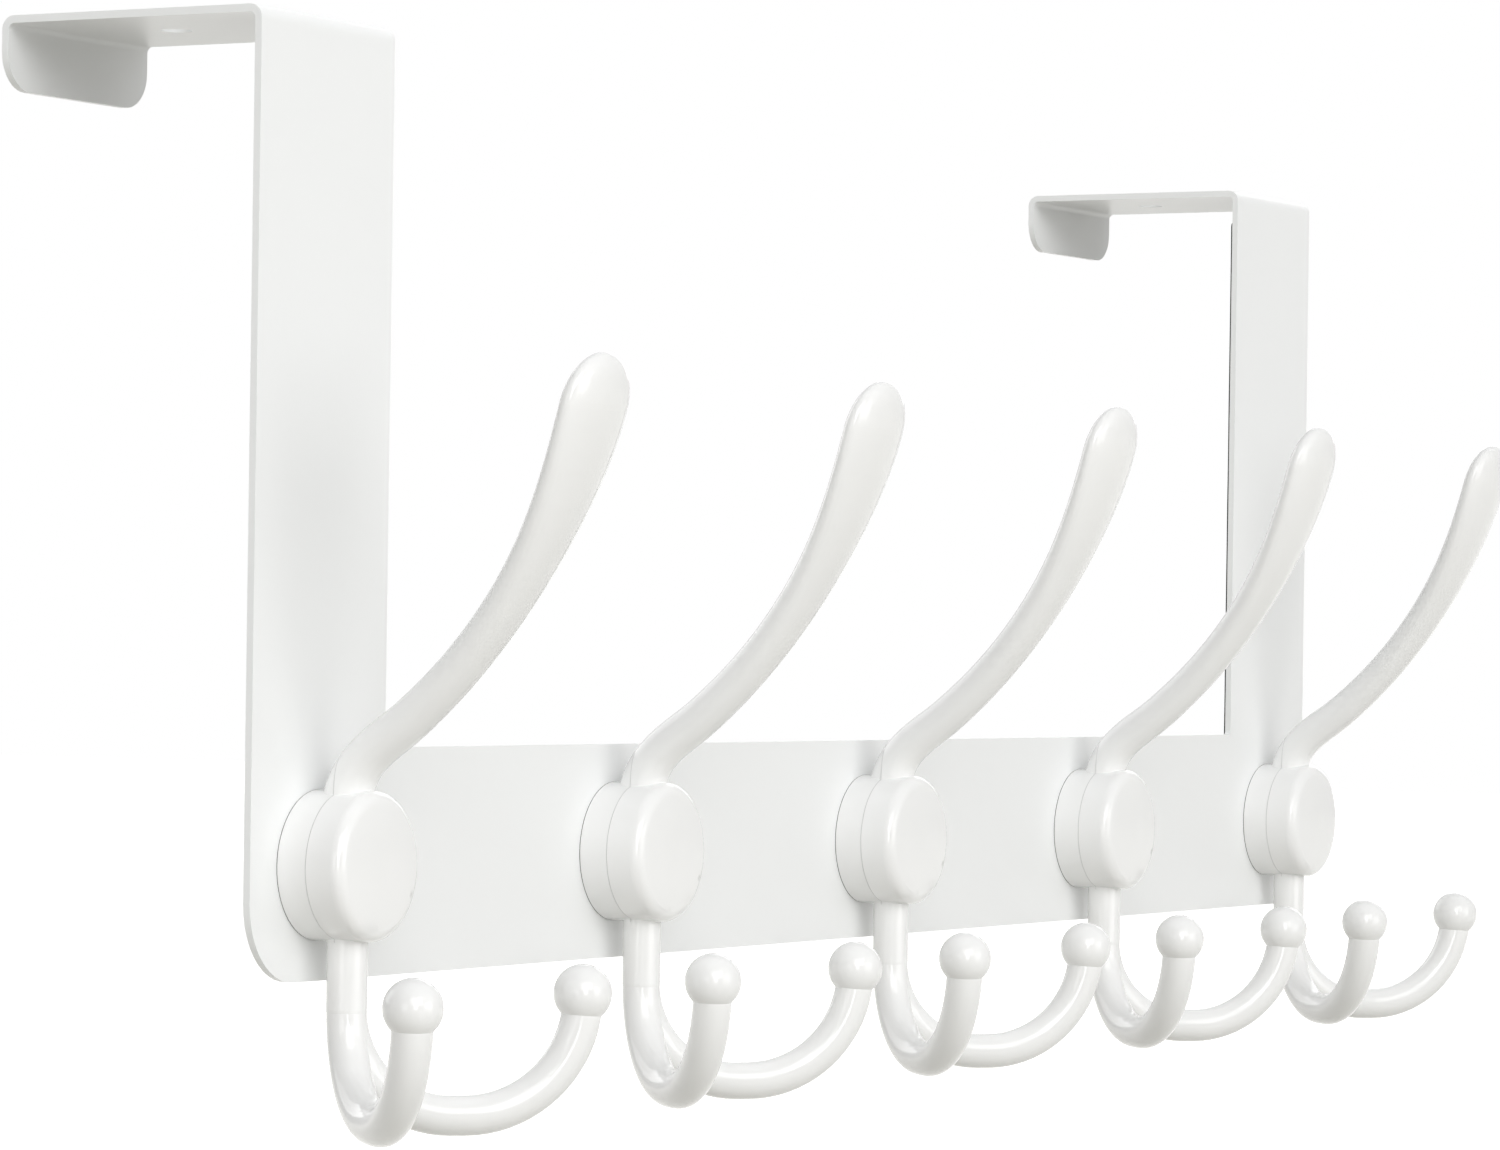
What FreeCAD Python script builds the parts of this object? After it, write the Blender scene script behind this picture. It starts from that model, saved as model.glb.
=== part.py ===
"""Over door hook rack: a folded steel frame that hangs over a door, with a row of moulded tri-hooks.

Frame: origin midway between the two holes in the flanges, on the flanges' underside, where they rest on
the door. +X runs along the rail, +Y goes over the door towards its back, +Z is up. Millimetres.
"""
import FreeCAD
import Part
import math
import os
import Sketcher

Vector = FreeCAD.Vector
Rotation = FreeCAD.Rotation
Placement = FreeCAD.Placement

# Driving dimensions in millimetres and degrees
SIZES = {
    # folded steel frame
    "overall_width": 406.0,
    "strap_width": 38.0,
    "steel_thickness": 1.2,
    "bend_radius": 1.0,
    "door_gap": 44.5,
    "strap_drop": 112.3,
    "rail_height": 36.0,
    "lip_length": 10.3,
    "lip_corner": 6.0,
    "rail_corner": 12.5,
    "inside_corner": 0.8,
    "flange_hole_diameter": 5.0,
    "flange_hole_setback": 26.0,
    # foam pads on the back of the straps
    "pad_thickness": 1.5,
    "pad_inset": 2.4,
    "pad_top_gap": 5.0,
    "pad_screw_gap": 4.5,
    # bosses of the hooks
    "boss_diameter": 23.4,
    "boss_depth": 12.3,
    "boss_dome": 0.9,
    "boss_flat": 4.0,
    "boss_edge": 2.1,
    # upper arm
    "arm_setoff": 5.0,
    "arm_root": 4.0,
    "neck_start": 7.8,
    "neck_radius": 13.0,
    "neck_turn": 55.9,
    "sweep_radius": 93.0,
    "tip_heading": 15.5,
    "root_half_width": 4.1,
    "root_half_depth": 3.8,
    "neck_half_width": 3.9,
    "neck_half_depth": 3.4,
    "tip_half_width": 8.9,
    "tip_half_depth": 3.0,
    "tip_length": 8.4,
    # stem and prongs
    "stem_diameter": 6.4,
    "stem_setoff": 5.6,
    "stem_root": 5.0,
    "prong_diameter": 6.3,
    "elbow_radius": 16.5,
    "prong_drop": 38.7,
    "prong_radius": 18.4,
    "prong_spread": 25.0,
    "prong_reach": 27.6,
    "ball_drop": 19.7,
    "ball_diameter": 9.2,
    # screws through the rail
    "screw_spacing": 11.0,
    "screw_diameter": 3.0,
    "screw_length": 7.5,
    "screw_point": 1.5,
    "screw_fit": 0.05,
    "rail_hole_play": 0.2,
    "head_diameter": 5.6,
    "head_height": 1.2,
    "recess_width": 0.7,
    "recess_length": 2.8,
    "recess_depth": 0.6,
    "pilot_spare": 0.8,
}

HOOK_COUNT = 5
ARM_SECTIONS = 12

doc = FreeCAD.newDocument("over_door_hook")


def make_sheet():
    """The spreadsheet of driving dimensions, one alias a row."""
    cells = doc.addObject("Spreadsheet::Sheet", "Sizes")
    for row, (name, value) in enumerate(SIZES.items(), start=1):
        cells.set("A%d" % row, name)
        cells.set("B%d" % row, str(value))
        cells.setAlias("B%d" % row, name)
    doc.recompute()
    return cells


sheet = make_sheet()


def size(name):
    """A driving dimension, read from the sheet."""
    return float(sheet.get(name))


def cell(text):
    """An expression in which each word that names a size stands for its cell."""
    words = sorted(SIZES, key=len, reverse=True)
    for number, word in enumerate(words):
        text = text.replace(word, "<%d>" % number)
    for number, word in enumerate(words):
        text = text.replace("<%d>" % number, "Sizes." + word)
    return text


def bind(target, path, text):
    target.setExpression(path, cell(text))


def new_body(name):
    body = doc.addObject("PartDesign::Body", name)
    body.Label = name
    return body


def origin_plane(body, role):
    return next(f for f in body.Origin.OriginFeatures if f.Role == role)


def new_sketch(body, role, name, lift="0", turn=None):
    """A sketch on one of the body's own planes, lifted along its normal and turned about one of its axes."""
    sketch = body.newObject("Sketcher::SketchObject", name)
    sketch.AttachmentSupport = [(origin_plane(body, role), "")]
    sketch.MapMode = "FlatFace"
    if turn:
        axis, angle = turn
        sketch.AttachmentOffset = Placement(Vector(0, 0, 0), Rotation(axis, 1))
        bind(sketch, "AttachmentOffset.Rotation.Angle", angle)
    bind(sketch, "AttachmentOffset.Base.z", lift)
    return sketch


def datum(sketch, kind, refs, text, start=1.0):
    """A dimension of the sketch, bound to the sheet."""
    index = sketch.addConstraint(Sketcher.Constraint(kind, *refs, start))
    label = "d%d" % index
    sketch.renameConstraint(index, label)
    bind(sketch, "Constraints." + label, text)


def polygon(sketch, corners):
    """A closed outline of straight edges, with each corner's place bound to the sheet."""
    count = len(corners)
    places = [Vector(10 * math.cos(2 * math.pi * i / count), 10 * math.sin(2 * math.pi * i / count), 0)
              for i in range(count)]
    for i in range(count):
        sketch.addGeometry(Part.LineSegment(places[i], places[(i + 1) % count]), False)
    for i in range(count):
        sketch.addConstraint(Sketcher.Constraint("Coincident", i, 2, (i + 1) % count, 1))
    for i, (across, up) in enumerate(corners):
        datum(sketch, "DistanceX", (-1, 1, i, 1), across, places[i].x)
        datum(sketch, "DistanceY", (-1, 1, i, 1), up, places[i].y)


def circle(sketch, across, up, diameter):
    """A circle with its centre and diameter bound to the sheet."""
    index = sketch.addGeometry(Part.Circle(Vector(5, 5, 0), Vector(0, 0, 1), 1), False)
    datum(sketch, "Diameter", (index,), diameter, 2.0)
    datum(sketch, "DistanceX", (-1, 1, index, 3), across, 5.0)
    datum(sketch, "DistanceY", (-1, 1, index, 3), up, 5.0)


def ellipse(sketch, half_width, half_depth):
    """An ellipse on the sketch's origin, its half width along the sketch's first axis."""
    index = sketch.addGeometry(Part.Ellipse(Vector(8, 0, 0), Vector(0, 3, 0), Vector(0, 0, 0)), False)
    sketch.exposeInternalGeometry(index)
    sketch.addConstraint(Sketcher.Constraint("Coincident", index, 3, -1, 1))
    sketch.addConstraint(Sketcher.Constraint("Horizontal", index + 1))
    datum(sketch, "Distance", (index + 1,), "2 * (%s)" % half_width, 16.0)
    datum(sketch, "Distance", (index + 2,), "2 * (%s)" % half_depth, 6.0)


def pad(body, sketch, name, length, reverse=False):
    feature = body.newObject("PartDesign::Pad", name)
    feature.Profile = sketch
    feature.Reversed = reverse
    bind(feature, "Length", length)
    sketch.Visibility = False
    return feature


def edges_where(shape, test):
    """Names of the shape's straight edges whose direction and middle point pass the test."""
    names = []
    for number, edge in enumerate(shape.Edges, start=1):
        if edge.Curve.TypeId != "Part::GeomLine":
            continue
        middle = edge.valueAt((edge.FirstParameter + edge.LastParameter) / 2)
        if test(edge.tangentAt(edge.FirstParameter), middle):
            names.append("Edge%d" % number)
    return names


def fillet(body, base, name, radius, test):
    """A fillet on the edges of the last feature that pass the test."""
    doc.recompute()
    feature = body.newObject("PartDesign::Fillet", name)
    feature.Base = (base, edges_where(base.Shape, test))
    bind(feature, "Radius", radius)
    return feature


def near(first, second):
    return abs(first - second) < 0.01


# Door frame: a rail with two straps, each folded over the door's top into a lip

STEEL_BACK = "-(flange_hole_setback + pad_thickness)"
STEEL_FRONT = "-(flange_hole_setback + pad_thickness + steel_thickness)"
LIP_FRONT = "door_gap - flange_hole_setback"
LIP_BACK = "door_gap - flange_hole_setback + steel_thickness"


def make_door_frame():
    body = new_body("door_frame")
    outline = new_sketch(body, "XZ_Plane", "rail_outline", "flange_hole_setback + pad_thickness")
    half = "overall_width / 2"
    bottom = "-(strap_drop + rail_height)"
    polygon(outline, [("-%s" % half, bottom), (half, bottom), (half, "-strap_drop"),
                      ("-%s" % half, "-strap_drop")])
    pad(body, outline, "rail", "steel_thickness")

    profile = new_sketch(body, "YZ_Plane", "strap_profile", "-overall_width / 2")
    polygon(profile, [(STEEL_FRONT, bottom), (STEEL_FRONT, "steel_thickness"),
                      (LIP_BACK, "steel_thickness"), (LIP_BACK, "-lip_length"),
                      (LIP_FRONT, "-lip_length"), (LIP_FRONT, "0"), (STEEL_BACK, "0"),
                      (STEEL_BACK, bottom)])
    strap = pad(body, profile, "left_strap", "strap_width")
    doc.recompute()
    mirror = body.newObject("PartDesign::Mirrored", "right_strap")
    mirror.Originals = [strap]
    mirror.MirrorPlane = (origin_plane(body, "YZ_Plane"), [""])
    body.Tip = mirror

    along_x = lambda tangent: near(abs(tangent.x), 1)
    along_y = lambda tangent: near(abs(tangent.y), 1)
    thickness = size("steel_thickness")
    lip_front = size("door_gap") - size("flange_hole_setback")
    side = size("overall_width") / 2
    inner_side = side - size("strap_width")
    rail_top = -size("strap_drop")
    rail_bottom = rail_top - size("rail_height")

    outer = fillet(body, mirror, "outer_bends", "bend_radius + steel_thickness",
                   lambda t, p: along_x(t) and near(p.z, thickness))
    inner = fillet(body, outer, "inner_bends", "bend_radius",
                   lambda t, p: along_x(t) and near(p.z, 0))
    lips = fillet(body, inner, "lip_corners", "lip_corner",
                  lambda t, p: along_y(t) and p.y > lip_front and near(p.z, -size("lip_length")))
    ends = fillet(body, lips, "rail_corners", "rail_corner",
                  lambda t, p: along_y(t) and near(p.z, rail_bottom) and near(abs(p.x), side))
    fillet(body, ends, "inside_corners", "inside_corner",
           lambda t, p: along_y(t) and near(p.z, rail_top) and near(abs(p.x), inner_side))
    doc.recompute()

    flange = new_sketch(body, "XY_Plane", "flange_hole_places")
    for sign in ("-", ""):
        circle(flange, "%s(overall_width - strap_width) / 2" % sign, "0", "flange_hole_diameter")
    cut_through(body, flange, "flange_holes")

    screws = new_sketch(body, "XZ_Plane", "screw_hole_places")
    for number in range(HOOK_COUNT):
        for side_sign in ("-", "+"):
            circle(screws, "%s %s screw_spacing / 2" % (hook_across(number), side_sign), hook_height(),
                   "screw_diameter + 2 * rail_hole_play")
    cut_through(body, screws, "screw_holes")
    return body


def cut_through(body, sketch, name):
    """Cuts the sketch's outlines right through, both ways."""
    doc.recompute()
    feature = body.newObject("PartDesign::Pocket", name)
    feature.Profile = sketch
    feature.Type = 1
    feature.Midplane = True
    sketch.Visibility = False
    return feature


def hook_across(number):
    """Where a hook's middle lies along the rail: evenly spaced, the outer two in the middle of the straps."""
    return "(overall_width - strap_width) * %g" % (number / (HOOK_COUNT - 1) - 0.5)


def hook_height():
    """The height of the hooks' middle: half way up the rail."""
    return "-(strap_drop + rail_height / 2)"


# Hook: boss, upper arm, stem and two prongs, moulded in one piece

def make_boss(body):
    """Round boss, turned about the axis that points out of the rail. Its face is domed round a flat middle."""
    profile = new_sketch(body, "XY_Plane", body.Label + "_boss_profile")
    radius = size("boss_diameter") / 2
    flat = size("boss_flat") / 2
    depth = size("boss_depth")
    dome = size("boss_dome")
    dome_radius = ((radius - flat) ** 2 + dome ** 2) / (2 * dome)
    half_way = (radius - flat) / 2
    rise = dome_radius - math.sqrt(dome_radius ** 2 - half_way ** 2)
    back = Vector(0, 0, 0)
    rim_back = Vector(radius, 0, 0)
    rim_front = Vector(radius, dome - depth, 0)
    on_dome = Vector(flat + half_way, rise - depth, 0)
    flat_edge = Vector(flat, -depth, 0)
    face = Vector(0, -depth, 0)
    profile.addGeometry(Part.LineSegment(back, rim_back), False)
    profile.addGeometry(Part.LineSegment(rim_back, rim_front), False)
    profile.addGeometry(Part.Arc(flat_edge, on_dome, rim_front), False)
    profile.addGeometry(Part.LineSegment(flat_edge, face), False)
    profile.addGeometry(Part.LineSegment(face, back), False)
    profile.addConstraint(Sketcher.Constraint("Coincident", 0, 1, -1, 1))
    profile.addConstraint(Sketcher.Constraint("Coincident", 0, 2, 1, 1))
    profile.addConstraint(Sketcher.Constraint("Coincident", 1, 2, 2, 2))
    profile.addConstraint(Sketcher.Constraint("Tangent", 2, 1, 3, 1))
    profile.addConstraint(Sketcher.Constraint("Coincident", 3, 2, 4, 1))
    profile.addConstraint(Sketcher.Constraint("Coincident", 4, 2, 0, 1))
    profile.addConstraint(Sketcher.Constraint("Horizontal", 0))
    profile.addConstraint(Sketcher.Constraint("Vertical", 1))
    profile.addConstraint(Sketcher.Constraint("Horizontal", 3))
    profile.addConstraint(Sketcher.Constraint("Vertical", 4))
    datum(profile, "DistanceX", (-1, 1, 0, 2), "boss_diameter / 2", radius)
    datum(profile, "DistanceX", (-1, 1, 3, 1), "boss_flat / 2", flat)
    datum(profile, "DistanceY", (-1, 1, 3, 1), "-boss_depth", -depth)
    datum(profile, "DistanceY", (-1, 1, 1, 2), "boss_dome - boss_depth", dome - depth)
    turned = body.newObject("PartDesign::Revolution", body.Label + "_boss")
    turned.Profile = profile
    turned.ReferenceAxis = (profile, ["V_Axis"])
    turned.Angle = 360
    profile.Visibility = False
    doc.recompute()
    rim = [("Edge%d" % number) for number, edge in enumerate(turned.Shape.Edges, start=1)
           if edge.Curve.TypeId == "Part::GeomCircle" and near(edge.Curve.Center.y, dome - depth)]
    soft = body.newObject("PartDesign::Fillet", body.Label + "_boss_edge")
    soft.Base = (turned, rim)
    bind(soft, "Radius", "boss_edge")
    doc.recompute()


def arm_station(part):
    """Heading, distance out and height of the arm's middle line, from the neck (0) to the tip (1)."""
    heading = "(neck_turn - (neck_turn - tip_heading) * %g) * 1deg" % part
    neck_out = "arm_setoff + neck_radius * (1 - cos(neck_turn * 1deg))"
    neck_up = "neck_start + neck_radius * sin(neck_turn * 1deg)"
    out = "%s + sweep_radius * (cos(%s) - cos(neck_turn * 1deg))" % (neck_out, heading)
    up = "%s + sweep_radius * (sin(neck_turn * 1deg) - sin(%s))" % (neck_up, heading)
    return heading, out, up


def arm_section(body, name, heading, out, up, half_width, half_depth):
    """One cross section of the arm, square to its middle line."""
    sketch = new_sketch(body, "XY_Plane", name, up, (Vector(1, 0, 0), heading))
    bind(sketch, "AttachmentOffset.Base.y", "-(%s)" % out)
    ellipse(sketch, half_width, half_depth)
    sketch.Visibility = False
    return sketch


def blend(first, last, share):
    """A size that goes from one named value to another."""
    return "%s + (%s - %s) * %g" % (first, last, first, share)


def make_arm(body):
    """Arm that leaves the boss upwards, turns out at the neck and sweeps up into a broad rounded tip."""
    name = body.Label + "_arm"
    half_turn = "neck_turn / 2 * 1deg"
    bend_out = "arm_setoff + neck_radius * (1 - cos(%s))" % half_turn
    bend_up = "neck_start + neck_radius * sin(%s)" % half_turn
    bend_width = blend("root_half_width", "neck_half_width", 0.5)
    bend_depth = blend("root_half_depth", "neck_half_depth", 0.5)
    sections = [arm_section(body, name + "_root", "0deg", "arm_setoff", "arm_root",
                            "root_half_width", "root_half_depth"),
                arm_section(body, name + "_foot", "0deg", "arm_setoff", "neck_start",
                            "root_half_width", "root_half_depth"),
                arm_section(body, name + "_bend", half_turn, bend_out, bend_up, bend_width, bend_depth)]
    for number in range(ARM_SECTIONS + 1):
        part = number / ARM_SECTIONS
        width = blend("neck_half_width", "tip_half_width", part ** 4 * (5 - 4 * part))
        depth = blend("neck_half_depth", "tip_half_depth", part * (2 - part))
        sections.append(arm_section(body, name + "_%d" % number, *arm_station(part), width, depth))
    doc.recompute()
    loft = body.newObject("PartDesign::AdditiveLoft", name)
    loft.Profile = sections[0]
    loft.Sections = sections[1:]
    loft.Ruled = False
    doc.recompute()

    heading, out, up = arm_station(1)
    tip = body.newObject("PartDesign::AdditiveEllipsoid", name + "_tip")
    tip.AttachmentSupport = [(origin_plane(body, "XY_Plane"), "")]
    tip.MapMode = "FlatFace"
    tip.AttachmentOffset = Placement(Vector(0, 0, 0), Rotation(Vector(1, 0, 0), 1))
    bind(tip, "AttachmentOffset.Rotation.Angle", heading)
    bind(tip, "AttachmentOffset.Base.y", "-(%s)" % out)
    bind(tip, "AttachmentOffset.Base.z", up)
    bind(tip, "Radius1", "tip_length")
    bind(tip, "Radius2", "tip_half_width")
    bind(tip, "Radius3", "tip_half_depth")
    tip.Angle1 = 0
    doc.recompute()


def make_stem(body):
    """Round stem that comes down out of the boss to the prongs' elbows, where it ends in a half ball."""
    profile = new_sketch(body, "XZ_Plane", body.Label + "_stem_profile", "stem_setoff")
    radius = size("stem_diameter") / 2
    top = -size("stem_root")
    split = size("elbow_radius") - size("prong_drop")
    on_ball = Vector(radius * math.sqrt(0.5), split - radius * math.sqrt(0.5), 0)
    profile.addGeometry(Part.LineSegment(Vector(0, top, 0), Vector(radius, top, 0)), False)
    profile.addGeometry(Part.LineSegment(Vector(radius, top, 0), Vector(radius, split, 0)), False)
    profile.addGeometry(Part.Arc(Vector(0, split - radius, 0), on_ball, Vector(radius, split, 0)), False)
    profile.addGeometry(Part.LineSegment(Vector(0, split - radius, 0), Vector(0, top, 0)), False)
    profile.addConstraint(Sketcher.Constraint("Coincident", 0, 2, 1, 1))
    profile.addConstraint(Sketcher.Constraint("Tangent", 1, 2, 2, 2))
    profile.addConstraint(Sketcher.Constraint("Coincident", 2, 1, 3, 1))
    profile.addConstraint(Sketcher.Constraint("Coincident", 3, 2, 0, 1))
    profile.addConstraint(Sketcher.Constraint("Horizontal", 0))
    profile.addConstraint(Sketcher.Constraint("Vertical", 1))
    profile.addConstraint(Sketcher.Constraint("PointOnObject", 0, 1, -2))
    profile.addConstraint(Sketcher.Constraint("PointOnObject", 2, 3, -2))
    profile.addConstraint(Sketcher.Constraint("Vertical", 3))
    datum(profile, "DistanceX", (-1, 1, 1, 1), "stem_diameter / 2", radius)
    datum(profile, "DistanceY", (-1, 1, 1, 1), "-stem_root", top)
    datum(profile, "DistanceY", (-1, 1, 1, 2), "elbow_radius - prong_drop", split)
    turned = body.newObject("PartDesign::Revolution", body.Label + "_stem")
    turned.Profile = profile
    turned.ReferenceAxis = (profile, ["V_Axis"])
    turned.Angle = 360
    profile.Visibility = False
    doc.recompute()


def make_prong(body, side, bearing, across):
    """Prong that turns out of the stem at an elbow, runs level and curves up to a ball."""
    name = "%s_%s_prong" % (body.Label, side)
    path = new_sketch(body, "XZ_Plane", name + "_path", "stem_setoff", (Vector(0, 1, 0), bearing))
    end = math.hypot(size("prong_spread"), size("prong_reach"))
    low = -size("prong_drop")
    elbow = size("elbow_radius")
    bow = size("prong_radius")
    top = -size("ball_drop")
    corner = math.sqrt(0.5)
    points = [Vector(0, low + elbow, 0), Vector(elbow, low, 0), Vector(end - bow, low, 0),
              Vector(end, low + bow, 0), Vector(end, top, 0)]
    elbow_middle = Vector(elbow * (1 - corner), low + elbow * (1 - corner), 0)
    bow_middle = Vector(end - bow * (1 - corner), low + bow * (1 - corner), 0)
    path.addGeometry(Part.Arc(points[0], elbow_middle, points[1]), False)
    path.addGeometry(Part.LineSegment(points[1], points[2]), False)
    path.addGeometry(Part.Arc(points[2], bow_middle, points[3]), False)
    path.addGeometry(Part.LineSegment(points[3], points[4]), False)
    path.addConstraint(Sketcher.Constraint("PointOnObject", 0, 1, -2))
    path.addConstraint(Sketcher.Constraint("Horizontal", 0, 1, 0, 3))
    path.addConstraint(Sketcher.Constraint("Horizontal", 1))
    path.addConstraint(Sketcher.Constraint("Vertical", 3))
    for number in range(3):
        path.addConstraint(Sketcher.Constraint("Tangent", number, 2, number + 1, 1))
    datum(path, "DistanceY", (-1, 1, 1, 1), "-prong_drop", low)
    datum(path, "Radius", (0,), "elbow_radius", elbow)
    datum(path, "Radius", (2,), "prong_radius", bow)
    datum(path, "DistanceX", (-1, 1, 3, 2), "sqrt(prong_spread ^ 2 + prong_reach ^ 2)", end)
    datum(path, "DistanceY", (-1, 1, 3, 2), "-ball_drop", top)
    path.Visibility = False

    section = new_sketch(body, "XY_Plane", name + "_section", "elbow_radius - prong_drop")
    circle(section, "0", "-stem_setoff", "prong_diameter")
    section.Visibility = False
    doc.recompute()
    prong = body.newObject("PartDesign::AdditivePipe", name)
    prong.Profile = section
    prong.Spine = (path, ["Edge1", "Edge2", "Edge3", "Edge4"])
    doc.recompute()

    ball = body.newObject("PartDesign::AdditiveSphere", name + "_ball")
    ball.AttachmentSupport = [(origin_plane(body, "XY_Plane"), "")]
    ball.MapMode = "FlatFace"
    bind(ball, "Radius", "ball_diameter / 2")
    bind(ball, "AttachmentOffset.Base.x", across)
    bind(ball, "AttachmentOffset.Base.y", "-(stem_setoff + prong_reach)")
    bind(ball, "AttachmentOffset.Base.z", "-ball_drop")
    doc.recompute()


def make_pilot_holes(body):
    """Two blind holes in the back of the boss, which the screws bite into."""
    places = new_sketch(body, "XZ_Plane", body.Label + "_pilot_places")
    for sign in ("-", ""):
        circle(places, "%sscrew_spacing / 2" % sign, "0", "screw_diameter + 2 * screw_fit")
    doc.recompute()
    holes = body.newObject("PartDesign::Pocket", body.Label + "_pilot_holes")
    holes.Profile = places
    holes.Reversed = True
    bind(holes, "Length", "screw_length - steel_thickness + pilot_spare")
    places.Visibility = False
    doc.recompute()


def make_hook(number):
    body = new_body("hook_%d" % (number + 1))
    make_boss(body)
    make_arm(body)
    make_stem(body)
    make_prong(body, "left", "atan(prong_reach / prong_spread) - 180deg", "-prong_spread")
    make_prong(body, "right", "-atan(prong_reach / prong_spread)", "prong_spread")
    make_pilot_holes(body)
    bind(body, "Placement.Base.x", hook_across(number))
    bind(body, "Placement.Base.y", STEEL_FRONT)
    bind(body, "Placement.Base.z", hook_height())
    return body


# Foam pads, one behind each strap

def make_pad(name, sign):
    body = new_body(name)
    sketch = new_sketch(body, "XZ_Plane", name + "_outline", "flange_hole_setback")
    outer = "(overall_width / 2 - pad_inset)"
    inner = "(overall_width / 2 - strap_width + pad_inset)"
    top = "-pad_top_gap"
    bottom = "-(strap_drop + rail_height / 2 - head_diameter / 2 - pad_screw_gap)"
    polygon(sketch, [("%s%s" % (sign, outer), bottom), ("%s%s" % (sign, inner), bottom),
                     ("%s%s" % (sign, inner), top), ("%s%s" % (sign, outer), top)])
    pad(body, sketch, name + "_sheet", "pad_thickness")
    return body


# Screws: two for each hook, put in from the back of the rail

def make_screw():
    """One screw with its head's seat on the origin, pointing out of the rail towards the hook."""
    head_radius = size("head_diameter") / 2
    head_height = size("head_height")
    shank = size("screw_diameter") / 2
    length = size("screw_length")
    point = size("screw_point")
    edge = head_height / 3
    start = Vector(0, -length, 0)
    corners = [start, Vector(shank, point - length, 0), Vector(shank, 0, 0), Vector(head_radius, 0, 0),
               Vector(head_radius, edge, 0)]
    outline = [Part.LineSegment(a, b).toShape() for a, b in zip(corners, corners[1:])]
    crown = Vector(0, head_height, 0)
    shoulder = Vector(head_radius * 0.6, head_height * 0.86, 0)
    outline.append(Part.Arc(corners[-1], shoulder, crown).toShape())
    outline.append(Part.LineSegment(crown, start).toShape())
    screw = Part.Face(Part.Wire(outline)).revolve(Vector(0, 0, 0), Vector(0, 1, 0), 360)
    width = size("recess_width")
    reach = size("recess_length")
    depth = size("recess_depth")
    corner = Vector(-width / 2, head_height - depth, -reach / 2)
    slot = Part.makeBox(width, 2 * depth, reach, corner)
    other = slot.copy()
    other.rotate(Vector(0, 0, 0), Vector(0, 1, 0), 90)
    return screw.cut(slot.fuse(other))


def make_screws():
    """All the screws as one group of separate solids."""
    screw = make_screw()
    seat = -(size("flange_hole_setback") + size("pad_thickness"))
    height = -(size("strap_drop") + size("rail_height") / 2)
    solids = []
    for number in range(HOOK_COUNT):
        middle = (size("overall_width") - size("strap_width")) * (number / (HOOK_COUNT - 1) - 0.5)
        for side in (-1, 1):
            one = screw.copy()
            one.translate(Vector(middle + side * size("screw_spacing") / 2, seat, height))
            solids.append(one)
    group = doc.addObject("Part::Feature", "hook_screws")
    group.Label = "hook_screws"
    group.Shape = Part.makeCompound(solids)
    group.Placement = Placement()
    return group


def check(objects):
    """Stops if any object failed or any sub-part has no valid shape."""
    for item in doc.Objects:
        if "Invalid" in item.State or "Error" in item.State:
            raise RuntimeError("%s failed: %s" % (item.Name, item.State))
    for item in objects:
        if item.Shape.isNull() or not item.Shape.isValid():
            raise RuntimeError("%s has no valid shape" % item.Label)


subparts = [make_door_frame()]
subparts += [make_hook(number) for number in range(HOOK_COUNT)]
subparts += [make_pad("left_pad", "-"), make_pad("right_pad", "")]
subparts.append(make_screws())
doc.recompute()
check(subparts)
os.makedirs("parts", exist_ok=True)
for item in subparts:
    item.Shape.exportStep("parts/%s.step" % item.Label)
    box = item.Shape.BoundBox
    print("%-12s solids %2d volume %9.1f  X %.1f..%.1f  Y %.1f..%.1f  Z %.1f..%.1f" % (
        item.Label, len(item.Shape.Solids), item.Shape.Volume,
        box.XMin, box.XMax, box.YMin, box.YMax, box.ZMin, box.ZMax))
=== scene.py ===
"""Looks of the over door hook rack: powder-coated frame, glossy moulded hooks, black foam pads.

Everything is in metres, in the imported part's own frame: +X along the rail, +Y over the door, +Z up.
"""
import math

import bpy
from mathutils import Matrix, Vector, noise


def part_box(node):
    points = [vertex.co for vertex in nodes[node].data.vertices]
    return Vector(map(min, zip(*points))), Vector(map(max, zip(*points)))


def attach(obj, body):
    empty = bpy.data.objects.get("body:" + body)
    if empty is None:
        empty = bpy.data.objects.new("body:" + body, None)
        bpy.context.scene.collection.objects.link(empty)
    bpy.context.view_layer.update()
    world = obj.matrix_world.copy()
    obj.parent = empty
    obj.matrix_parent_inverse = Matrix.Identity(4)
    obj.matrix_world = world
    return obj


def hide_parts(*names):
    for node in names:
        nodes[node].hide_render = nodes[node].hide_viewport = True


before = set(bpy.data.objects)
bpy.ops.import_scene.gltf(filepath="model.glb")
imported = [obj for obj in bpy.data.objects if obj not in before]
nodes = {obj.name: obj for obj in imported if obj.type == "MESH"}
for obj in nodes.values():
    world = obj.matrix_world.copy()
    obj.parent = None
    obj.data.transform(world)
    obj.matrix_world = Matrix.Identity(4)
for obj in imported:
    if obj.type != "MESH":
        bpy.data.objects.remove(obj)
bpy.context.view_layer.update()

MM = 0.001
HOOKS = ["hook_%d" % number for number in range(1, 6)]
PADS = ["left_pad", "right_pad"]

# Places taken from the solids
RAIL_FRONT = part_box("hook_1")[1].y
HOOK_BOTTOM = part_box("hook_1")[0].z
HOOK_MIDDLE = (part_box("hook_screws")[0].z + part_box("hook_screws")[1].z) / 2

# Camera, at the place and angle of the photograph. The lens centre's offset is in its pixels
IMAGE_WIDTH = 1500
FOCAL_PIXELS = 5721.0
CENTRE_OFFSET = (-1.4, 85.7)
SENSOR_WIDTH = 36.0
CLIP_RANGE = (0.05, 50.0)
CAMERA_PLACE = Vector((-0.9307, -0.5107, -0.0962))
CAMERA_BEARING = math.radians(61.46)
CAMERA_PITCH = math.radians(-0.10)
CAMERA_ROLL = math.radians(0.81)

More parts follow.
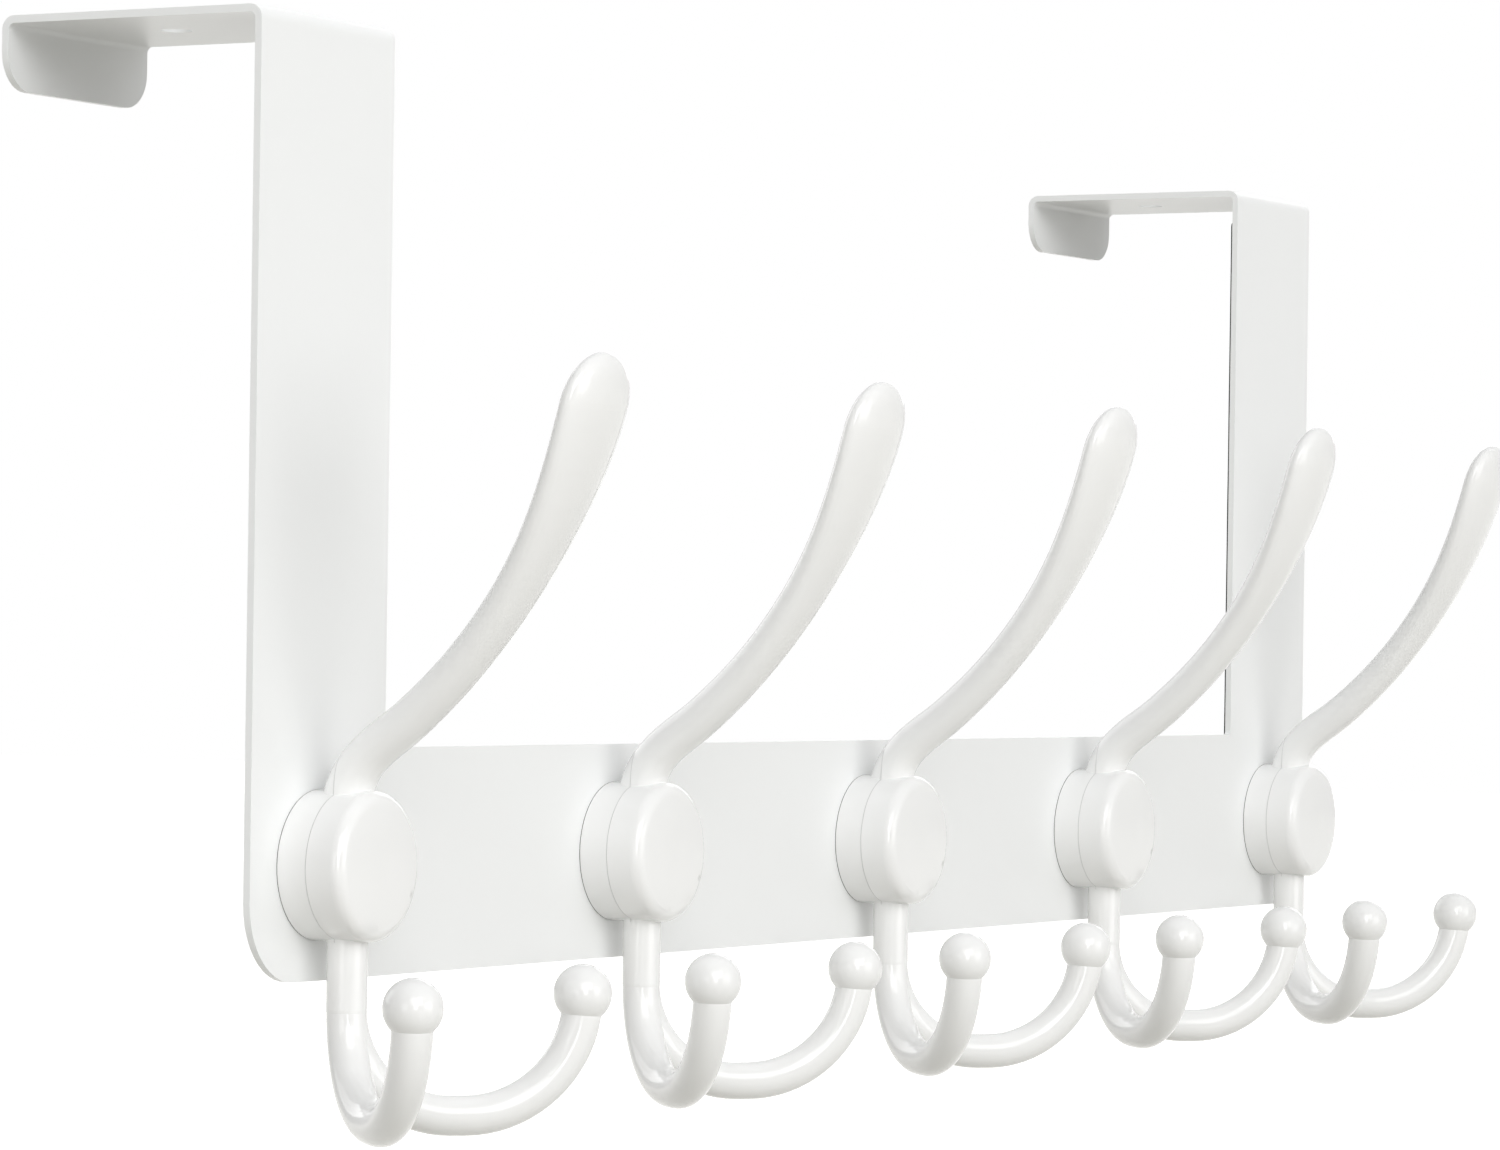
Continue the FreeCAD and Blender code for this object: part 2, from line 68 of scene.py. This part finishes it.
# Studio. The floor lies this far under the hooks, glows this much near them, and is clean white
# from WHITE_FROM on
FLOOR_DROP = 0.12
FLOOR_SIZE = 14.0
FLOOR_COLOUR = (0.58, 0.57, 0.525)
FLOOR_GLOW = 0.85
WHITE_FROM = 0.9
WORLD_STRENGTH = 0.36

# Lamps, all aimed at one point: name, place, width and height, watts
LAMP_TARGET = Vector((0.0, -0.03, -0.09))
LAMPS = [
    ("front", (-0.1, -2.3, 0.1), (1.4, 1.4), 14.5),
    ("front_high", (-0.1, -2.1, 1.0), (2.8, 1.2), 5.0),
    ("left_high", (-1.45, -1.45, 1.0), (1.8, 1.2), 20.5),
    ("left", (-2.2, -0.10, -0.02), (0.9, 1.2), 6.0),
    ("top", (-0.2, 0.2, 1.7), (1.6, 1.6), 3.0),
    ("right_back", (2.1, 0.5, 0.7), (1.2, 1.2), 5.0),
    ("back", (0.3, 2.2, 0.8), (2.2, 1.2), 10.0),
    ("key", (-0.96, -0.78, 0.19), (0.3, 0.75), 3.6),
]
HIGHLIGHTS_ONLY = ["key"]

# Finishes. A roughness varies within its range
STEEL_COLOUR = (0.912, 0.922, 0.922)
STEEL_ROUGHNESS = (0.34, 0.42)
COAT_WEIGHT = 0.15
COAT_ROUGHNESS = 0.3
PLASTIC_COLOUR = (0.900, 0.902, 0.897)
PLASTIC_ROUGHNESS = (0.07, 0.11)
PLASTIC_IOR = 1.5
SCREW_COLOUR = (0.62, 0.61, 0.58)
SCREW_ROUGHNESS = (0.22, 0.36)
FOAM_COLOUR = (0.012, 0.012, 0.013)
FOAM_ROUGHNESS = (0.84, 0.96)
FOAM_SPECULAR = 0.3

# Ranges of values: nearly all of a noise, the middle of it, and a foam cell from middle to wall
NOISE_RANGE = (0.3, 0.7)
NOISE_MIDDLE = (0.35, 0.65)
CELL_RANGE = (0.1, 0.8)

# Parting line of the moulded hooks, this far in front of the rail and only above the foot of the
# bosses, with painted shade along it, and a band of painted shadow this wide next to the rail at the
# foot of each boss, for the fine clearance between boss and rail. Each multiplies the plastic's
# colour by its shade
PARTING_DEPTH = 5.2 * MM
LINE_HALF_WIDTH = 0.09 * MM
LINE_SHADE = 0.80
BOSS_FOOT = HOOK_MIDDLE - 11.8 * MM
FOOT_SHADOW_WIDTH = 0.16 * MM
FOOT_SHADE = 0.12

# Foam pads: corner and edge radius, how uneven the face is and how finely, spacing of the mesh, and
# its closer steps near an edge
PAD_CORNER = 1.2 * MM
PAD_EDGE = 0.45 * MM
PAD_UNEVEN = 0.10 * MM
PAD_WAVES_PER_METRE = 110
PAD_PITCH = 2.5 * MM
EDGE_STEPS = [step * MM for step in (0.0, 0.06, 0.16, 0.3, 0.45, 0.75, 1.2)]

# Sockets of a Mix node that mixes colours, which shares their names with its other kinds
MIX_FACTOR, MIX_FIRST, MIX_SECOND = 0, 6, 7
MIX_RESULT = 2


# Node helpers

def new_material(name):
    material = bpy.data.materials.new(name)
    material.use_nodes = True
    return material, material.node_tree, material.node_tree.nodes["Principled BSDF"]


def add_node(tree, kind, **values):
    """A node with its sockets set by name."""
    node = tree.nodes.new(kind)
    for name, value in values.items():
        node.inputs[name].default_value = value
    return node


def math_node(tree, operation, first, second=None):
    """A Math node on links or plain numbers."""
    node = tree.nodes.new("ShaderNodeMath")
    node.operation = operation
    for socket, value in zip(node.inputs, (first, second)):
        if isinstance(value, (int, float)):
            socket.default_value = value
        elif value is not None:
            tree.links.new(value, socket)
    return node.outputs[0]


def object_space(tree):
    return tree.nodes.new("ShaderNodeTexCoord").outputs["Object"]


def noise_of(tree, space, scale, detail):
    node = add_node(tree, "ShaderNodeTexNoise", Scale=scale, Detail=detail)
    tree.links.new(space, node.inputs["Vector"])
    return node.outputs["Fac"]


def spread(tree, value, source, target):
    """Maps value from the range source on to the range target."""
    node = tree.nodes.new("ShaderNodeMapRange")
    for socket, number in zip(("From Min", "From Max", "To Min", "To Max"), (*source, *target)):
        node.inputs[socket].default_value = number
    tree.links.new(value, node.inputs["Value"])
    return node.outputs["Result"]


def ramp(tree, value, source, first, second):
    """Blends from one colour to another as value goes through the range source."""
    node = tree.nodes.new("ShaderNodeValToRGB")
    for element, position, colour in zip(node.color_ramp.elements, source, (first, second)):
        element.position = position
        element.color = (*colour, 1)
    tree.links.new(value, node.inputs["Fac"])
    return node.outputs["Color"]


def bump(tree, height, distance, strength, under=None):
    """A bump, on top of another one's normal where under gives it."""
    node = add_node(tree, "ShaderNodeBump", Strength=strength, Distance=distance)
    tree.links.new(height, node.inputs["Height"])
    if under:
        tree.links.new(under, node.inputs["Normal"])
    return node.outputs["Normal"]


def darken(tree, colour, amount, factor):
    """The colour, multiplied by factor where amount is 1."""
    node = tree.nodes.new("ShaderNodeMix")
    node.data_type = "RGBA"
    node.blend_type = "MULTIPLY"
    tree.links.new(amount, node.inputs[MIX_FACTOR])
    tree.links.new(colour, node.inputs[MIX_FIRST])
    node.inputs[MIX_SECOND].default_value = (factor, factor, factor, 1)
    return node.outputs[MIX_RESULT]


def shade(colour, factor):
    return tuple(channel * factor for channel in colour)


def seen(tree):
    """1 for camera, reflected and transmitted rays, 0 for the light on the object."""
    path = tree.nodes.new("ShaderNodeLightPath")
    mirrored = math_node(tree, "MAXIMUM", path.outputs["Is Glossy Ray"],
                         path.outputs["Is Transmission Ray"])
    return math_node(tree, "MAXIMUM", path.outputs["Is Camera Ray"], mirrored)


# Materials

def powder_coat():
    """Smooth white powder coat: a faint orange peel, and gloss that varies a little."""
    material, tree, shader = new_material("powder_coated_steel")
    space = object_space(tree)
    tone = noise_of(tree, space, scale=14.0, detail=3.0)
    colour = ramp(tree, tone, NOISE_RANGE, shade(STEEL_COLOUR, 0.985), STEEL_COLOUR)
    tree.links.new(colour, shader.inputs["Base Color"])
    tree.links.new(spread(tree, tone, NOISE_RANGE, STEEL_ROUGHNESS), shader.inputs["Roughness"])
    shader.inputs["Coat Weight"].default_value = COAT_WEIGHT
    shader.inputs["Coat Roughness"].default_value = COAT_ROUGHNESS
    peel = noise_of(tree, space, scale=420.0, detail=1.0)
    peel = bump(tree, peel, distance=0.04 * MM, strength=0.35)
    grain = noise_of(tree, space, scale=3200.0, detail=1.0)
    grain = bump(tree, grain, distance=0.006 * MM, strength=0.3, under=peel)
    tree.links.new(grain, shader.inputs["Normal"])
    return material


def glossy_plastic():
    """Glossy white plastic: slow flow marks, a parting line with painted shade, painted shadow at
    each boss foot.
    """
    material, tree, shader = new_material("hook_plastic")
    space = object_space(tree)
    axes = tree.nodes.new("ShaderNodeSeparateXYZ")
    tree.links.new(space, axes.inputs[0])
    depth = math_node(tree, "SUBTRACT", RAIL_FRONT, axes.outputs["Y"])
    from_line = math_node(tree, "SUBTRACT", depth, PARTING_DEPTH)
    from_line = math_node(tree, "ABSOLUTE", from_line)
    line = spread(tree, from_line, (LINE_HALF_WIDTH, LINE_HALF_WIDTH / 3), (0.0, 1.0))
    above_foot = math_node(tree, "GREATER_THAN", axes.outputs["Z"], BOSS_FOOT)
    line = math_node(tree, "MULTIPLY", line, above_foot)
    # Painted shadow: a dark band on the plastic within this width of the rail, at the foot of each
    # boss
    foot_shadow = spread(tree, depth, (FOOT_SHADOW_WIDTH, FOOT_SHADOW_WIDTH / 2), (0.0, 1.0))
    tone = noise_of(tree, space, scale=60.0, detail=2.0)
    colour = ramp(tree, tone, NOISE_MIDDLE, shade(PLASTIC_COLOUR, 0.99), PLASTIC_COLOUR)
    # Painted shade along the parting line, on top of its groove bump further on
    colour = darken(tree, colour, line, LINE_SHADE)
    colour = darken(tree, colour, foot_shadow, FOOT_SHADE)
    tree.links.new(colour, shader.inputs["Base Color"])
    tree.links.new(spread(tree, tone, NOISE_RANGE, PLASTIC_ROUGHNESS), shader.inputs["Roughness"])
    shader.inputs["IOR"].default_value = PLASTIC_IOR
    flow = noise_of(tree, space, scale=150.0, detail=1.0)
    flow = bump(tree, flow, distance=0.06 * MM, strength=0.25)
    groove = math_node(tree, "SUBTRACT", 1.0, line)
    groove = bump(tree, groove, distance=0.08 * MM, strength=1.0, under=flow)
    tree.links.new(groove, shader.inputs["Normal"])
    return material


def zinc_steel():
    """Zinc-plated steel, with a fine grain and patches of brighter metal."""
    material, tree, shader = new_material("screw_steel")
    space = object_space(tree)
    shader.inputs["Metallic"].default_value = 1.0
    tone = noise_of(tree, space, scale=900.0, detail=3.0)
    colour = ramp(tree, tone, NOISE_RANGE, shade(SCREW_COLOUR, 0.9), SCREW_COLOUR)
    tree.links.new(colour, shader.inputs["Base Color"])
    tree.links.new(spread(tree, tone, NOISE_RANGE, SCREW_ROUGHNESS), shader.inputs["Roughness"])
    grain = noise_of(tree, space, scale=4000.0, detail=2.0)
    grain = bump(tree, grain, distance=0.01 * MM, strength=0.4)
    tree.links.new(grain, shader.inputs["Normal"])
    return material


def black_foam():
    """Black closed-cell foam: fine cells that catch a little light."""
    material, tree, shader = new_material("pad_foam")
    space = object_space(tree)
    cells = add_node(tree, "ShaderNodeTexVoronoi", Scale=1900.0)
    tree.links.new(space, cells.inputs["Vector"])
    patches = noise_of(tree, space, scale=90.0, detail=3.0)
    skin = spread(tree, patches, NOISE_RANGE, (0.7, 1.2))
    skin = math_node(tree, "MULTIPLY", cells.outputs["Distance"], skin)
    colour = ramp(tree, skin, CELL_RANGE, shade(FOAM_COLOUR, 2.2), FOAM_COLOUR)
    tree.links.new(colour, shader.inputs["Base Color"])
    tree.links.new(spread(tree, patches, NOISE_RANGE, FOAM_ROUGHNESS), shader.inputs["Roughness"])
    shader.inputs["Specular IOR Level"].default_value = FOAM_SPECULAR
    cells = bump(tree, cells.outputs["Distance"], distance=0.1 * MM, strength=0.8)
    tree.links.new(cells, shader.inputs["Normal"])
    return material


def white_floor():
    """A matte white that keeps the object's shadow near it, and is clean white further off."""
    material, tree, shader = new_material("floor_white")
    away = tree.nodes.new("ShaderNodeVectorMath")
    away.operation = "LENGTH"
    tree.links.new(object_space(tree), away.inputs[0])
    glow = spread(tree, away.outputs["Value"], (WHITE_FROM / 2, WHITE_FROM), (FLOOR_GLOW, 1.0))
    glow = math_node(tree, "MULTIPLY", seen(tree), glow)
    shader.inputs["Base Color"].default_value = (*FLOOR_COLOUR, 1)
    shader.inputs["Roughness"].default_value = 1.0
    shader.inputs["Specular IOR Level"].default_value = 0.0
    shader.inputs["Emission Color"].default_value = (1, 1, 1, 1)
    tree.links.new(glow, shader.inputs["Emission Strength"])
    return material


def set_material(piece, material):
    piece.data.materials.clear()
    piece.data.materials.append(material)


def new_object(name, data):
    thing = bpy.data.objects.new(name, data)
    bpy.context.scene.collection.objects.link(thing)
    return thing


# Foam pads

def spaced(half):
    """Places across a pad from edge to edge, close together near its edges."""
    inner = half - EDGE_STEPS[-1]
    count = max(2, round(2 * inner / PAD_PITCH))
    low_edge = [step - half for step in EDGE_STEPS]
    middle = [-inner + 2 * inner * number / count for number in range(1, count)]
    high_edge = [half - step for step in reversed(EDGE_STEPS)]
    return low_edge + middle + high_edge


def round_corner(x, z, half_x, half_z):
    """Moves a point of a rectangle's grid to round its corners. Gives x, z and how far in it is."""
    over_x = (abs(x) - (half_x - PAD_CORNER)) / PAD_CORNER
    over_z = (abs(z) - (half_z - PAD_CORNER)) / PAD_CORNER
    if over_x <= 0 or over_z <= 0:
        return x, z, min(half_x - abs(x), half_z - abs(z))
    moved_x = over_x * math.sqrt(1 - over_z ** 2 / 2)
    moved_z = over_z * math.sqrt(1 - over_x ** 2 / 2)
    inside = PAD_CORNER * (1 - math.hypot(moved_x, moved_z))
    return (math.copysign(half_x - PAD_CORNER + moved_x * PAD_CORNER, x),
            math.copysign(half_z - PAD_CORNER + moved_z * PAD_CORNER, z), max(inside, 0.0))


def face_drop(x, z, inside):
    """How far the pad's face lies back at a point: at its round edge, and where it is uneven."""
    fall = 1 - min(inside / PAD_EDGE, 1.0)
    drop = PAD_EDGE * (1 - math.sqrt(1 - fall ** 2))
    wave = noise.noise(Vector((x, z, 0.0)) * PAD_WAVES_PER_METRE) * 0.5 + 0.5
    return drop + PAD_UNEVEN * wave * (1 - fall)


def slab_faces(columns, rows):
    """Faces of a slab whose two sides are grids of points, one side's points after the other's."""
    side = columns * rows
    faces = []
    for row in range(rows - 1):
        for column in range(columns - 1):
            corner = row * columns + column
            quad = (corner, corner + 1, corner + columns + 1, corner + columns)
            faces.append(quad)
            faces.append(tuple(side + index for index in reversed(quad)))
    rim = list(range(columns))
    rim += [row * columns + columns - 1 for row in range(1, rows)]
    rim += [(rows - 1) * columns + column for column in range(columns - 2, -1, -1)]
    rim += [row * columns for row in range(rows - 2, 0, -1)]
    for first, second in zip(rim, rim[1:] + rim[:1]):
        faces.append((first, first + side, second + side, second))
    return faces


def make_pad(node, material):
    """A strip of foam with round corners, a soft edge and an uneven face, stuck to its strap."""
    low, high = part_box(node)
    middle = (low + high) / 2
    half_x, half_z = (high.x - low.x) / 2, (high.z - low.z) / 2
    thick = high.y - low.y
    across, along = spaced(half_x), spaced(half_z)
    glued, outer = [], []
    for z in along:
        for x in across:
            to_x, to_z, inside = round_corner(x, z, half_x, half_z)
            drop = face_drop(to_x + middle.x, to_z, inside)
            glued.append((middle.x + to_x, low.y, middle.z + to_z))
            outer.append((middle.x + to_x, low.y + thick - drop, middle.z + to_z))
    mesh = bpy.data.meshes.new(node + "_foam")
    mesh.from_pydata(glued + outer, [], slab_faces(len(across), len(along)))
    mesh.shade_smooth()
    piece = new_object(node + "_foam", mesh)
    set_material(piece, material)
    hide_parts(node)
    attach(piece, "root")


# Studio: camera, world, lamps and floor

def make_camera():
    data = bpy.data.cameras.new("camera")
    data.sensor_width = SENSOR_WIDTH
    data.lens = FOCAL_PIXELS * SENSOR_WIDTH / IMAGE_WIDTH
    data.shift_x, data.shift_y = (offset / IMAGE_WIDTH for offset in CENTRE_OFFSET)
    data.clip_start, data.clip_end = CLIP_RANGE
    camera = new_object("camera", data)
    turn = (Matrix.Rotation(-CAMERA_BEARING, 4, "Z")
            @ Matrix.Rotation(math.pi / 2 + CAMERA_PITCH, 4, "X")
            @ Matrix.Rotation(CAMERA_ROLL, 4, "Z"))
    camera.matrix_world = Matrix.Translation(CAMERA_PLACE) @ turn
    bpy.context.scene.camera = camera


def make_world():
    """Even white light, which the camera and reflections see as plain white."""
    world = bpy.data.worlds.new("world")
    bpy.context.scene.world = world
    world.use_nodes = True
    tree = world.node_tree
    background = tree.nodes["Background"]
    background.inputs["Color"].default_value = (1, 1, 1, 1)
    strength = spread(tree, seen(tree), (0.0, 1.0), (WORLD_STRENGTH, 1.0))
    tree.links.new(strength, background.inputs["Strength"])


def make_lamp(name, place, size, power):
    data = bpy.data.lights.new(name, "AREA")
    data.shape = "RECTANGLE"
    data.size, data.size_y = size
    data.energy = power
    lamp = new_object(name, data)
    lamp.location = place
    lamp.visible_camera = False
    lamp.visible_diffuse = name not in HIGHLIGHTS_ONLY
    lamp.rotation_euler = (LAMP_TARGET - Vector(place)).to_track_quat("-Z", "Y").to_euler()


def make_floor(height):
    mesh = bpy.data.meshes.new("floor")
    half = FLOOR_SIZE / 2
    corners = [(x * half, y * half, height) for x, y in ((-1, -1), (1, -1), (1, 1), (-1, 1))]
    mesh.from_pydata(corners, [], [(0, 1, 2, 3)])
    floor = new_object("floor", mesh)
    set_material(floor, white_floor())


# Build

make_camera()
make_world()
for lamp in LAMPS:
    make_lamp(*lamp)
make_floor(HOOK_BOTTOM - FLOOR_DROP)

steel = powder_coat()
plastic = glossy_plastic()
zinc = zinc_steel()
foam = black_foam()
set_material(nodes["door_frame"], steel)
set_material(nodes["hook_screws"], zinc)
for name in HOOKS:
    set_material(nodes[name], plastic)
for name in PADS:
    set_material(nodes[name], foam)
    make_pad(name, foam)

bpy.context.scene.view_settings.view_transform = "Standard"
